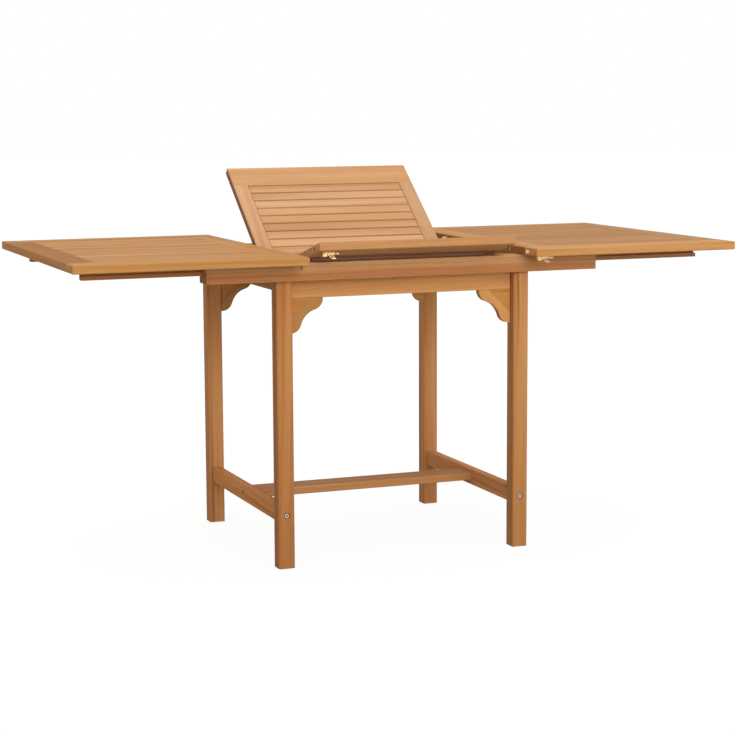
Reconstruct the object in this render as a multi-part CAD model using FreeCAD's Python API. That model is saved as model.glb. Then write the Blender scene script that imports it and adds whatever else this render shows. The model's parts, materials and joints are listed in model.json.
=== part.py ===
import FreeCAD, Part
import math
import os

from FreeCAD import Vector

# Extending garden table in millimetres: +Z up, X along the table, origin on the floor under its middle.
# Two slatted tops slide apart on a fixed leg frame, and a leaf in two hinged halves fills the gap.
# The pieces are placed as photographed: tops pulled apart, leaf half unfolded.

# Overall sizes
TABLE_HEIGHT = 750.0
TOP_WIDTH = 800.0
TOP_LENGTH = 550.0
LEAF_LENGTH = 500.0
LEFT_PULL = 29.0
RIGHT_PULL = 49.0
RUNNING_GAP = 0.3

# Slatted boards of the tops and of the leaf
BOARD_THICKNESS = 20.0
BOARD_CHAMFER = 2.0
TOP_RAIL_WIDTH = 65.0
TOP_STILE_WIDTH = 65.0
LEAF_OUTER_RAIL_WIDTH = 72.0
LEAF_HINGE_RAIL_WIDTH = 57.6
LEAF_STILE_WIDTH = 38.0
SLAT_PITCH = 30.0
SLAT_GAP = 2.2
SLAT_END_GAP = 0.2
SLAT_CHAMFER = 1.2
TONGUE_THICKNESS = 8.0
TONGUE_LENGTH = 8.0
TONGUE_SHOULDER = 8.0
JOINERY_GAP = 0.15

# Legs, aprons and stretchers
LEG_SIZE = 40.0
LEG_EASE = 5.0
LEG_BEYOND_LEAF = 56.0
LEG_SETBACK = 19.0
APRON_THICKNESS = 18.0
APRON_HEIGHT = 45.0
END_APRON_HEIGHT = 28.0
TENON_THICKNESS = 8.0
TENON_LENGTH = 14.0
TENON_SHOULDER = 7.0
STRETCHER_THICKNESS = 24.0
STRETCHER_HEIGHT = 40.0
STRETCHER_MIDDLE_Z = 128.0
STRETCHER_EASE = 2.5
CENTRE_STRETCHER_WIDTH = 70.0
CENTRE_STRETCHER_THICKNESS = 20.0
CENTRE_STRETCHER_RISE = 2.5
BOLT_RECESS_RADIUS = 8.0
BOLT_RECESS_DEPTH = 4.0

# Ogee corner brackets, measured from the inner corner of leg and apron along the diagonal
FILLER_SIDE = 57.0
FILLER_GAP = 0.3
LOBE_RADIUS = 28.0
LOBE_OFFSET = 38.5
LOBE_REACH = 40.0
HOLLOW_REACH = 58.0

# Fixed rails with a guide groove, and the runners that slide in it
RAIL_OVERHANG = 194.0
TOP_OVERHANG = 80.0
RAIL_WIDTH = 57.0
RAIL_HEIGHT = 27.0
CAP_WIDTH = 44.0
CAP_HEIGHT = 14.7
CAP_EASE = 2.0
RUNNER_LIP_THICKNESS = 9.5
RUNNER_LIP_SETBACK = 35.0
RUNNER_WEB_THICKNESS = 12.0
RUNNER_INSET_OUTER = 46.0
RUNNER_INSET_INNER = 6.0
BATTEN_WIDTH = 40.0
BATTEN_THICKNESS = 16.0
BATTEN_CLEARANCE = 8.0
INNER_BATTEN_INSET = 28.0
INNER_BATTEN_CLEARANCE = 1.0
STOP_CLEAT_LENGTH = 16.0
STOP_CLEAT_REACH = 13.0
STOP_CLEAT_HEIGHT = 20.0
STOP_BLOCK_LENGTH = 24.0
STOP_BLOCK_WIDTH = 17.0
STOP_BLOCK_HEIGHT = 30.0
STOP_BLOCK_RISE = 4.0
STOP_BLOCK_CLEARANCE = 0.5

# Leaf pivot, leaf hinges and the pose of the two halves
LEAF_TILT = 14.3
LEAF_RISE = 37.8
PIVOT_SETBACK = 3.0
PIVOT_DROP = 14.0
PIVOT_RADIUS = 3.0
PIVOT_FIT = 0.05
PIVOT_EAR_RADIUS = 7.0
PIVOT_EAR_THICKNESS = 3.0
PIVOT_EAR_SPACING = 1.0
PIVOT_INSET = 22.0
PIVOT_PLATE_LENGTH = 30.0
PIVOT_PLATE_WIDTH = 30.0
PIVOT_PLATE_THICKNESS = 3.0
PIVOT_PIN_PROUD = 1.5
PIVOT_FOOT_RISE = 2.0
PIVOT_FOOT_HEIGHT = 14.0
SEAM_GAP = 0.4
HINGE_X = 140.0
HINGE_KNUCKLE_LENGTH = 17.0
HINGE_KNUCKLE_GAP = 0.4
HINGE_KNUCKLES = 3
HINGE_BARREL_RADIUS = 3.0
HINGE_PIN_RADIUS = 1.5
HINGE_PIN_FIT = 0.05
HINGE_PLATE_THICKNESS = 1.6
HINGE_PLATE_DEPTH = 15.0

# Brass locating pins and swing hooks
PIN_RADIUS = 4.0
PIN_REACH = 13.0
PIN_HOLE_CLEARANCE = 0.5
PIN_HOLE_DEPTH_SPARE = 3.0
PIN_EDGE_INSET = 38.0
PIN_INNER_Y = 135.0
CLOSED_GAP = 0.9
HOOK_EDGE_INSET = 25.0
HOOK_PIVOT_INSET = 18.0
HOOK_CATCH_INSET = 10.0
HOOK_BASE_LENGTH = 30.0
HOOK_BASE_WIDTH = 12.0
HOOK_BASE_THICKNESS = 2.5
HOOK_THICKNESS = 3.2
HOOK_ARM_WIDTH = 7.0
HOOK_EYE_WIDTH = 11.0
HOOK_NOTCH_WIDTH = 6.4
HOOK_TIP_LENGTH = 5.0
HOOK_CORNER = 3.0
HOOK_FIT = 0.05
HOOK_END_PLAY = 0.4
FINGER_LOOP_START = 9.0
FINGER_LOOP_WIDTH = 10.0
FINGER_LOOP_DROP = 10.0
FINGER_LOOP_STRAND = 2.5
STUD_RADIUS = 2.5
STUD_HEAD_SIDE = 11.0
STUD_HEAD_THICKNESS = 4.0
CATCH_LENGTH = 10.5

# Levels and lines worked out from the sizes above
TOP_UNDERSIDE = TABLE_HEIGHT - BOARD_THICKNESS
CAP_TOP = TOP_UNDERSIDE - RUNNING_GAP
RAIL_TOP = CAP_TOP - CAP_HEIGHT
LEG_HEIGHT = RAIL_TOP - RAIL_HEIGHT
GROOVE_FLOOR = RAIL_TOP - RUNNER_LIP_THICKNESS - 2 * RUNNING_GAP
HALF_WIDTH = TOP_WIDTH / 2
RAIL_OUTER_Y = HALF_WIDTH - TOP_OVERHANG
RAIL_INNER_Y = RAIL_OUTER_Y - RAIL_WIDTH
CAP_INNER_Y = RAIL_OUTER_Y - CAP_WIDTH
RUNNER_LIP_OUTER_Y = RAIL_OUTER_Y - RUNNER_LIP_SETBACK
GROOVE_OUTER_Y = RUNNER_LIP_OUTER_Y + RUNNING_GAP
RUNNER_INNER_Y = RAIL_INNER_Y + RUNNING_GAP
LEAF_END = LEAF_LENGTH / 2
LEFT_OPENING = LEAF_END + LEFT_PULL
RIGHT_OPENING = LEAF_END + RIGHT_PULL
LEG_FACE = LEG_SIZE / 2
LEG_X = LEAF_END + LEG_BEYOND_LEAF
LEG_Y = RAIL_OUTER_Y - LEG_SETBACK - LEG_FACE
RAIL_LENGTH = 2 * (LEG_X + RAIL_OVERHANG)
PIVOT_Y = -RAIL_INNER_Y - PIVOT_SETBACK
PIVOT_Z = TOP_UNDERSIDE - PIVOT_DROP
PIN_OUTER_Y = HALF_WIDTH - PIN_EDGE_INSET
HOOK_Y = HALF_WIDTH - HOOK_EDGE_INSET
HOOK_LENGTH = HOOK_PIVOT_INSET + HOOK_CATCH_INSET + CLOSED_GAP
HOOK_TOP = TOP_UNDERSIDE - HOOK_BASE_THICKNESS - HOOK_END_PLAY
HOOK_UNDERSIDE = HOOK_TOP - HOOK_THICKNESS
APRON_OUTER_Y = LEG_Y - LEG_FACE + APRON_THICKNESS
PIN_ROWS = [-PIN_OUTER_Y, -PIN_INNER_Y, PIN_INNER_Y, PIN_OUTER_Y]
BOTH_SIDES = (-1, 1)

nodes = {}


def add(name, *solids):
    """Keep one solid, or a group of like solids, under a node name."""
    nodes[name] = solids[0] if len(solids) == 1 else Part.makeCompound(solids)


def box(x_ends, y_ends, z_ends):
    """A block between two values on each axis, given in either order."""
    low = Vector(min(x_ends), min(y_ends), min(z_ends))
    high = Vector(max(x_ends), max(y_ends), max(z_ends))
    size = high - low
    return Part.makeBox(size.x, size.y, size.z, low)


def rod(radius, start, end):
    """A round bar from one point to another."""
    axis = end - start
    return Part.makeCylinder(radius, axis.Length, start, axis)


def ease_edges(solid, radius, direction, chosen=lambda middle: True):
    """Round the straight edges of a solid that run along a direction and whose middle is chosen."""
    eased = []
    for edge in solid.Edges:
        along = isinstance(edge.Curve, Part.Line) and abs(edge.Curve.Direction.dot(direction)) > 0.999
        if along and chosen(edge.BoundBox.Center):
            eased.append(edge)
    return solid.makeFillet(radius, eased)


def extruded(points, height):
    """A closed straight-sided outline pushed along a vector."""
    return Part.Face(Part.makePolygon(points + points[:1])).extrude(height)


def cut_all(solid, tools):
    """Take every tool out of a solid."""
    for tool in tools:
        solid = solid.cut(tool)
    return solid


X_AXIS = Vector(1, 0, 0)
Y_AXIS = Vector(0, 1, 0)
Z_AXIS = Vector(0, 0, 1)


def slat(x_ends, y_ends):
    """One slat along X, chamfered all round its upper face."""
    body = box(x_ends, y_ends, (TOP_UNDERSIDE, TABLE_HEIGHT))
    upper = [edge for edge in body.Edges if edge.BoundBox.ZMin > TABLE_HEIGHT - SLAT_CHAMFER]
    return body.makeChamfer(SLAT_CHAMFER, upper)


def tongue_levels(clearance):
    """Lower and upper faces of a tongue at mid-thickness, or of its groove with a clearance."""
    middle = TABLE_HEIGHT - BOARD_THICKNESS / 2
    half = TONGUE_THICKNESS / 2 + clearance
    return (middle - half, middle + half)


def framed_panel(x_ends, y_ends, rail_widths, stile_width):
    """Rails along X at both sides, stiles between them, and slats along X between the stiles."""
    outline = box(x_ends, y_ends, (TOP_UNDERSIDE, TABLE_HEIGHT))
    outline = outline.makeChamfer(BOARD_CHAMFER, outline.Edges)
    inner_y = (y_ends[0] + rail_widths[0], y_ends[1] - rail_widths[1])
    inner_x = (x_ends[0] + stile_width, x_ends[1] - stile_width)
    levels = (TOP_UNDERSIDE, TABLE_HEIGHT)

    stiles = []
    mortises = []
    for outer, inner, inward in ((x_ends[0], inner_x[0], 1), (x_ends[1], inner_x[1], -1)):
        tenon_x = (outer + inward * TONGUE_SHOULDER, inner - inward * TONGUE_SHOULDER)
        tenon_y = (inner_y[0] - TONGUE_LENGTH, inner_y[1] + TONGUE_LENGTH)
        board = box((outer, inner), inner_y, levels).common(outline)
        stiles.append(board.fuse(box(tenon_x, tenon_y, tongue_levels(0.0))).removeSplitter())
        wide_x = (min(tenon_x) - JOINERY_GAP, max(tenon_x) + JOINERY_GAP)
        wide_y = (tenon_y[0] - JOINERY_GAP, tenon_y[1] + JOINERY_GAP)
        mortises.append(box(wide_x, wide_y, tongue_levels(JOINERY_GAP)))

    rails = []
    for outer, inner in zip(y_ends, inner_y):
        rails.append(cut_all(box(x_ends, (outer, inner), levels).common(outline), mortises))

    clear = inner_y[1] - inner_y[0]
    count = round(clear / SLAT_PITCH)
    width = (clear - (count + 1) * SLAT_GAP) / count
    slat_x = (inner_x[0] + SLAT_END_GAP, inner_x[1] - SLAT_END_GAP)
    slats = []
    for index in range(count):
        start = inner_y[0] + SLAT_GAP + index * (width + SLAT_GAP)
        slats.append(slat(slat_x, (start, start + width)))
    return rails, stiles, slats


def locating_pin(face_x, direction, y):
    """A brass pin standing out of a board's end face along X."""
    z = TABLE_HEIGHT - BOARD_THICKNESS / 2
    return rod(PIN_RADIUS, Vector(face_x, y, z), Vector(face_x + direction * PIN_REACH, y, z))


def pin_holes(face_x, direction):
    """Drillings into a board's end face that take the pins of the board opposite."""
    z = TABLE_HEIGHT - BOARD_THICKNESS / 2
    radius = PIN_RADIUS + PIN_HOLE_CLEARANCE
    end_x = face_x - direction * (PIN_REACH + PIN_HOLE_DEPTH_SPARE)
    return [rod(radius, Vector(face_x, y, z), Vector(end_x, y, z)) for y in PIN_ROWS]


def hook_stud(x, y):
    """The brass base plate under a board, with the square-headed stud that a swing hook turns on."""
    half = HOOK_BASE_WIDTH / 2
    base_x = (x - half, x - half + HOOK_BASE_LENGTH)
    base = box(base_x, (y - half, y + half), (TOP_UNDERSIDE - HOOK_BASE_THICKNESS, TOP_UNDERSIDE))
    head_top = HOOK_UNDERSIDE - HOOK_END_PLAY
    shank = rod(STUD_RADIUS, Vector(x, y, head_top), Vector(x, y, TOP_UNDERSIDE))
    side = STUD_HEAD_SIDE / 2
    head = box((x - side, x + side), (y - side, y + side), (head_top - STUD_HEAD_THICKNESS, head_top))
    return base.fuse([shank, head]).removeSplitter()


def catch_stud(x, y):
    """The plain brass post under a board that a swing hook closes on."""
    return rod(STUD_RADIUS, Vector(x, y, TOP_UNDERSIDE - CATCH_LENGTH), Vector(x, y, TOP_UNDERSIDE))


def finger_loop(x, y):
    """The slanting loop under a hook's arm that a finger swings it by."""
    inner = FINGER_LOOP_START + FINGER_LOOP_STRAND
    end = FINGER_LOOP_START + FINGER_LOOP_WIDTH
    inner_drop = FINGER_LOOP_DROP - FINGER_LOOP_STRAND
    outline = [
        (FINGER_LOOP_START, 0),
        (inner, 0),
        (inner + inner_drop, inner_drop),
        (end - FINGER_LOOP_STRAND + inner_drop, inner_drop),
        (end - FINGER_LOOP_STRAND, 0),
        (end, 0),
        (end + FINGER_LOOP_DROP, FINGER_LOOP_DROP),
        (FINGER_LOOP_START + FINGER_LOOP_DROP, FINGER_LOOP_DROP),
    ]
    near_y = y - FINGER_LOOP_STRAND / 2
    corners = [Vector(x + along, near_y, HOOK_UNDERSIDE - down) for along, down in outline]
    return extruded(corners, Vector(0, FINGER_LOOP_STRAND, 0))


def swing_hook(x, y, side):
    """A flat brass hook pointing along +X, notched on the side that leads as it swings over."""
    eye = HOOK_EYE_WIDTH / 2
    arm = HOOK_ARM_WIDTH / 2
    notch = HOOK_NOTCH_WIDTH / 2
    tip = HOOK_LENGTH + notch + HOOK_TIP_LENGTH
    outline = [
        (-eye, -eye + HOOK_CORNER),
        (-eye + HOOK_CORNER, -eye),
        (eye, -eye),
        (eye + HOOK_CORNER, -arm),
        (HOOK_LENGTH - notch, -arm),
        (HOOK_LENGTH, -arm - HOOK_CORNER),
        (tip - HOOK_CORNER, -arm - HOOK_CORNER),
        (tip, -arm),
        (tip, arm),
        (tip - HOOK_CORNER / 2, arm + HOOK_CORNER / 2),
        (HOOK_LENGTH + notch, arm),
        (HOOK_LENGTH + notch, -notch),
        (HOOK_LENGTH - notch, -notch),
        (HOOK_LENGTH - notch, arm),
        (eye + HOOK_CORNER, arm),
        (eye, eye),
        (-eye + HOOK_CORNER, eye),
        (-eye, eye - HOOK_CORNER),
    ]
    corners = [Vector(x + along, y + side * across, HOOK_UNDERSIDE) for along, across in outline]
    plate = extruded(corners, Vector(0, 0, HOOK_THICKNESS))
    bore = rod(STUD_RADIUS + HOOK_FIT, Vector(x, y, HOOK_UNDERSIDE), Vector(x, y, HOOK_TOP))
    return plate.cut(bore).fuse(finger_loop(x, y)).removeSplitter()


def make_leg(side_x, side_y):
    """A square leg with eased edges, mortised for both aprons and recessed for the stretcher's bolt."""
    x, y = side_x * LEG_X, side_y * LEG_Y
    leg = box((x - LEG_FACE, x + LEG_FACE), (y - LEG_FACE, y + LEG_FACE), (0, LEG_HEIGHT))
    leg = ease_edges(leg, LEG_EASE, Z_AXIS)
    gap = JOINERY_GAP
    inner_x = x - side_x * LEG_FACE
    inner_y = y - side_y * LEG_FACE
    long_y = [side_y * value for value in tenon_ends(LEG_Y - LEG_FACE, APRON_THICKNESS, gap)]
    long_x = (inner_x, inner_x + side_x * (TENON_LENGTH + gap))
    end_x = [side_x * value for value in tenon_ends(LEG_X - APRON_THICKNESS / 2, APRON_THICKNESS, gap)]
    end_y = (inner_y, inner_y + side_y * (TENON_LENGTH + gap))
    outer_y = y + side_y * LEG_FACE
    recess_y = (outer_y, outer_y - side_y * BOLT_RECESS_DEPTH)
    cuts = [
        box(long_x, long_y, tenon_levels(APRON_HEIGHT, gap)),
        box(end_x, end_y, tenon_levels(END_APRON_HEIGHT, gap)),
        rod(BOLT_RECESS_RADIUS, *[Vector(x, depth, STRETCHER_MIDDLE_Z) for depth in recess_y]),
    ]
    return cut_all(leg, cuts)


def tenon_ends(start, thickness, gap):
    """Where a tenon lies across an apron that starts at a distance and has a thickness."""
    middle = start + thickness / 2
    half = TENON_THICKNESS / 2 + gap
    return (middle - half, middle + half)


def tenon_levels(height, gap):
    """Lower and upper faces of a tenon on an apron that hangs below the rails."""
    return (LEG_HEIGHT - height + TENON_SHOULDER - gap, LEG_HEIGHT - TENON_SHOULDER + gap)


def make_long_apron(side_y):
    """The apron along X between two legs, under a rail."""
    inner_y = LEG_Y - LEG_FACE
    half = LEG_X - LEG_FACE
    levels = (LEG_HEIGHT - APRON_HEIGHT, LEG_HEIGHT)
    body = box((-half, half), (side_y * inner_y, side_y * APRON_OUTER_Y), levels)
    middle_y = inner_y + APRON_THICKNESS / 2
    middle_z = LEG_HEIGHT - APRON_HEIGHT / 2
    body = ease_edges(body, STRETCHER_EASE, X_AXIS, lambda p: p.z < middle_z and abs(p.y) > middle_y)
    tenon_y = [side_y * value for value in tenon_ends(inner_y, APRON_THICKNESS, 0.0)]
    tenon = box((-half - TENON_LENGTH, half + TENON_LENGTH), tenon_y, tenon_levels(APRON_HEIGHT, 0.0))
    return body.fuse(tenon).removeSplitter()


def make_end_apron(side_x):
    """The shallow apron along Y between a front and a back leg."""
    half = LEG_Y - LEG_FACE
    inner_x = LEG_X - APRON_THICKNESS / 2
    levels = (LEG_HEIGHT - END_APRON_HEIGHT, LEG_HEIGHT)
    body = box((side_x * inner_x, side_x * (inner_x + APRON_THICKNESS)), (-half, half), levels)
    middle_z = LEG_HEIGHT - END_APRON_HEIGHT / 2
    body = ease_edges(body, STRETCHER_EASE, Y_AXIS, lambda p: p.z < middle_z and abs(p.x) > LEG_X)
    tenon_x = [side_x * value for value in tenon_ends(inner_x, APRON_THICKNESS, 0.0)]
    tenon = box(tenon_x, (-half - TENON_LENGTH, half + TENON_LENGTH), tenon_levels(END_APRON_HEIGHT, 0.0))
    return body.fuse(tenon).removeSplitter()


def bracket_point(along, out, side_x):
    """A point of a bracket's outline: along and out are measured from the diagonal of its corner."""
    across = (out + along) / math.sqrt(2)
    down = (out - along) / math.sqrt(2)
    return Vector(side_x * (LEG_X - LEG_FACE - across), 0, LEG_HEIGHT - APRON_HEIGHT - down)


def make_bracket(side_x, side_y):
    """The ogee strip of a corner bracket: two round lobes with a hollow between them."""
    rise = LOBE_REACH - HOLLOW_REACH
    hollow_radius = (LOBE_OFFSET**2 + rise**2 - LOBE_RADIUS**2) / (2 * (LOBE_RADIUS + rise))
    hollow_centre = HOLLOW_REACH + hollow_radius
    share = LOBE_RADIUS / (LOBE_RADIUS + hollow_radius)
    join = (LOBE_OFFSET * (1 - share), LOBE_REACH + (hollow_centre - LOBE_REACH) * share)
    spread = (LOBE_OFFSET - LOBE_REACH) / 2
    tip = (LOBE_OFFSET + LOBE_REACH) / 2 + math.sqrt(LOBE_RADIUS**2 / 2 - spread**2)
    crown = (LOBE_OFFSET, LOBE_REACH + LOBE_RADIUS)
    back = FILLER_SIDE / math.sqrt(2)

    def point(along, out):
        return bracket_point(along, out, side_x)

    edges = [
        Part.Arc(point(tip, tip), point(*crown), point(*join)).toShape(),
        Part.Arc(point(*join), point(0, HOLLOW_REACH), point(-join[0], join[1])).toShape(),
        Part.Arc(point(-join[0], join[1]), point(-crown[0], crown[1]), point(-tip, tip)).toShape(),
        Part.makeLine(point(-tip, tip), point(-back, back)),
        Part.makeLine(point(-back, back), point(back, back)),
        Part.makeLine(point(back, back), point(tip, tip)),
    ]
    return bracket_solid(Part.Wire(edges), side_y)


def make_filler(side_x, side_y):
    """The plain triangle behind an ogee strip."""
    reach = FILLER_SIDE / math.sqrt(2) - FILLER_GAP
    outline = [(0, 0), (reach, reach), (-reach, reach), (0, 0)]
    corners = [bracket_point(along, out, side_x) for along, out in outline]
    return bracket_solid(Part.makePolygon(corners), side_y)


def bracket_solid(wire, side_y):
    """Give a bracket outline the thickness of the apron above it."""
    solid = Part.Face(wire).extrude(Vector(0, side_y * APRON_THICKNESS, 0))
    return solid.translated(Vector(0, side_y * (LEG_Y - LEG_FACE), 0))


def make_end_stretcher(side_x):
    """A low rail between a front and a back leg."""
    x = side_x * LEG_X
    half_y = LEG_Y - LEG_FACE
    half_x = STRETCHER_THICKNESS / 2
    z = STRETCHER_MIDDLE_Z
    top = z + STRETCHER_HEIGHT / 2
    body = box((x - half_x, x + half_x), (-half_y, half_y), (z - STRETCHER_HEIGHT / 2, top))
    return ease_edges(body, STRETCHER_EASE, Y_AXIS)


def make_centre_stretcher():
    """The flat board along X between the two end stretchers."""
    half_x = LEG_X - STRETCHER_THICKNESS / 2
    half_y = CENTRE_STRETCHER_WIDTH / 2
    bottom = STRETCHER_MIDDLE_Z + CENTRE_STRETCHER_RISE - CENTRE_STRETCHER_THICKNESS / 2
    body = box((-half_x, half_x), (-half_y, half_y), (bottom, bottom + CENTRE_STRETCHER_THICKNESS))
    return ease_edges(body, STRETCHER_EASE, X_AXIS)


def make_rail(side_y):
    """A fixed rail on the leg tops, rebated along its inner upper edge for the runners."""
    half = RAIL_LENGTH / 2
    inner_y = side_y * RAIL_INNER_Y
    body = box((-half, half), (inner_y, side_y * RAIL_OUTER_Y), (LEG_HEIGHT, RAIL_TOP))
    return body.cut(box((-half, half), (inner_y, side_y * GROOVE_OUTER_Y), (GROOVE_FLOOR, RAIL_TOP)))


def make_cap(side_y):
    """The strip on a rail that closes the groove from above and carries the tops."""
    half = RAIL_LENGTH / 2
    body = box((-half, half), (side_y * CAP_INNER_Y, side_y * RAIL_OUTER_Y), (RAIL_TOP, CAP_TOP))
    middle_y = RAIL_OUTER_Y - CAP_WIDTH / 2
    return ease_edges(body, CAP_EASE, X_AXIS, lambda p: p.z > RAIL_TOP and abs(p.y) > middle_y)


def make_runner(side_x, side_y, inner_edge):
    """An L-shaped runner under a top: its lip slides in the rail's groove, its web carries the top."""
    x_ends = (
        side_x * (inner_edge + RUNNER_INSET_INNER),
        side_x * (inner_edge + TOP_LENGTH - RUNNER_INSET_OUTER),
    )
    lip_z = (GROOVE_FLOOR + RUNNING_GAP, GROOVE_FLOOR + RUNNING_GAP + RUNNER_LIP_THICKNESS)
    lip = box(x_ends, (side_y * RUNNER_INNER_Y, side_y * RUNNER_LIP_OUTER_Y), lip_z)
    web_y = (side_y * RUNNER_INNER_Y, side_y * (RUNNER_INNER_Y + RUNNER_WEB_THICKNESS))
    web = box(x_ends, web_y, (lip_z[0], TOP_UNDERSIDE))
    return lip.fuse(web).removeSplitter()


def make_stop_cleat(side_x, side_y, inner_edge):
    """A cleat at a runner's inner end that meets the stop block when its top is fully out."""
    start = inner_edge + RUNNER_INSET_INNER
    x_ends = (side_x * start, side_x * (start + STOP_CLEAT_LENGTH))
    y_ends = (side_y * RUNNER_INNER_Y, side_y * (RUNNER_INNER_Y - STOP_CLEAT_REACH))
    return box(x_ends, y_ends, (TOP_UNDERSIDE - STOP_CLEAT_HEIGHT, TOP_UNDERSIDE))


def make_stop_block(side_x, side_y):
    """A block on a rail's inner face that stops the runners from leaving the rail."""
    outermost = max(LEFT_OPENING, RIGHT_OPENING)
    start = outermost + RUNNER_INSET_INNER + STOP_CLEAT_LENGTH + STOP_BLOCK_CLEARANCE
    x_ends = (side_x * start, side_x * (start + STOP_BLOCK_LENGTH))
    y_ends = (side_y * RAIL_INNER_Y, side_y * (RAIL_INNER_Y - STOP_BLOCK_WIDTH))
    bottom = LEG_HEIGHT + STOP_BLOCK_RISE
    return box(x_ends, y_ends, (bottom, bottom + STOP_BLOCK_HEIGHT))


def make_battens(side_x, inner_edge):
    """Two cross battens under a top: one ties the slats together, one stiffens the inner end."""
    levels = (TOP_UNDERSIDE - BATTEN_THICKNESS, TOP_UNDERSIDE)
    places = [
        (inner_edge + TOP_LENGTH / 2, RUNNER_INNER_Y - BATTEN_CLEARANCE),
        (inner_edge + INNER_BATTEN_INSET, RAIL_INNER_Y - STOP_BLOCK_WIDTH - INNER_BATTEN_CLEARANCE),
    ]
    battens = []
    for distance, half_y in places:
        x = side_x * distance
        battens.append(box((x - BATTEN_WIDTH / 2, x + BATTEN_WIDTH / 2), (-half_y, half_y), levels))
    return battens


def pivot_ear(x_ends, foot_y, foot_z):
    """An upright ear with a round end at the leaf pivot and a straight foot."""
    x0 = min(x_ends)
    length = Vector(abs(x_ends[1] - x_ends[0]), 0, 0)
    centre = Vector(x0, PIVOT_Y, PIVOT_Z)
    round_end = Part.makeCylinder(PIVOT_EAR_RADIUS, length.x, centre, X_AXIS)
    foot = [Vector(x0, foot_y[0], foot_z), Vector(x0, foot_y[1], foot_z)]
    shoulders = [
        Vector(x0, PIVOT_Y + PIVOT_EAR_RADIUS, PIVOT_Z),
        Vector(x0, PIVOT_Y - PIVOT_EAR_RADIUS, PIVOT_Z),
    ]
    return round_end.fuse(extruded(foot + shoulders, length)).removeSplitter()


def make_frame_pivot(side_x):
    """A steel bracket on the front rail with the stub pin that the leaf turns on."""
    inner = LEAF_END - PIVOT_INSET - PIVOT_EAR_THICKNESS - PIVOT_EAR_SPACING
    ear_x = (side_x * (inner - PIVOT_EAR_THICKNESS), side_x * inner)
    face_y = -RAIL_INNER_Y
    foot_z = LEG_HEIGHT + PIVOT_FOOT_RISE
    plate_x = (ear_x[1], ear_x[1] - side_x * PIVOT_PLATE_LENGTH)
    plate_y = (face_y, face_y + PIVOT_PLATE_THICKNESS)
    plate = box(plate_x, plate_y, (foot_z, foot_z + PIVOT_FOOT_HEIGHT))
    ear = pivot_ear(ear_x, (face_y, PIVOT_Y + PIVOT_EAR_RADIUS), foot_z)
    ear = ear.cut(box(ear_x, (face_y, -RAIL_OUTER_Y), (LEG_HEIGHT, GROOVE_FLOOR + RUNNING_GAP)))
    outer_x = side_x * (LEAF_END - PIVOT_INSET + PIVOT_PIN_PROUD)
    pin = rod(PIVOT_RADIUS, Vector(ear_x[0], PIVOT_Y, PIVOT_Z), Vector(outer_x, PIVOT_Y, PIVOT_Z))
    return plate.fuse([ear, pin]).removeSplitter()


def make_leaf_lug(side_x):
    """A steel lug under a stile of the front half, turning on the frame's stub pin."""
    outer = LEAF_END - PIVOT_INSET
    ear_x = (side_x * (outer - PIVOT_EAR_THICKNESS), side_x * outer)
    plate_y = (PIVOT_Y - PIVOT_EAR_RADIUS / 2, PIVOT_Y - PIVOT_EAR_RADIUS / 2 + PIVOT_PLATE_WIDTH)
    plate_x = (ear_x[0], ear_x[0] + side_x * (LEAF_END - outer + PIVOT_EAR_THICKNESS - BOARD_CHAMFER))
    plate = box(plate_x, plate_y, (TOP_UNDERSIDE - PIVOT_PLATE_THICKNESS, TOP_UNDERSIDE))
    ear = pivot_ear(ear_x, (PIVOT_Y - PIVOT_EAR_RADIUS / 2, PIVOT_Y + PIVOT_EAR_RADIUS), TOP_UNDERSIDE)
    ends = [Vector(x, PIVOT_Y, PIVOT_Z) for x in ear_x]
    return plate.fuse(ear).removeSplitter().cut(rod(PIVOT_RADIUS + PIVOT_FIT, *ends))


def seam_rod(radius, x0, x1):
    """A round bar on the hinge line of the leaf, which lies in its upper face while it is flat."""
    return rod(radius, Vector(x0, 0, TABLE_HEIGHT), Vector(x1, 0, TABLE_HEIGHT))


def knuckle_ends(centre_x, index):
    """Where one knuckle of a hinge barrel starts and ends along X."""
    start = centre_x + (index - HINGE_KNUCKLES / 2) * HINGE_KNUCKLE_LENGTH
    return start + HINGE_KNUCKLE_GAP / 2, start + HINGE_KNUCKLE_LENGTH - HINGE_KNUCKLE_GAP / 2


def hinge_plate(centre_x, side_y):
    """One brass leaf of a hinge with its knuckles: outer knuckles in front, the others behind."""
    half = HINGE_KNUCKLES * HINGE_KNUCKLE_LENGTH / 2
    plate_y = (side_y * SEAM_GAP, side_y * (SEAM_GAP + HINGE_PLATE_THICKNESS))
    bottom = TABLE_HEIGHT - HINGE_PLATE_DEPTH
    plate = box((centre_x - half, centre_x + half), plate_y, (bottom, TABLE_HEIGHT))
    clearance = HINGE_BARREL_RADIUS + SEAM_GAP
    start = 0 if side_y < 0 else 1
    for index in range(HINGE_KNUCKLES):
        x0, x1 = knuckle_ends(centre_x, index)
        if index % 2 == start:
            plate = plate.fuse(seam_rod(HINGE_BARREL_RADIUS, x0, x1))
        else:
            notch_x = (x0 - HINGE_KNUCKLE_GAP, x1 + HINGE_KNUCKLE_GAP)
            plate = plate.cut(box(notch_x, plate_y, (TABLE_HEIGHT - clearance, TABLE_HEIGHT)))
    bore = seam_rod(HINGE_PIN_RADIUS + HINGE_PIN_FIT, centre_x - half, centre_x + half)
    return plate.cut(bore).removeSplitter()


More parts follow.
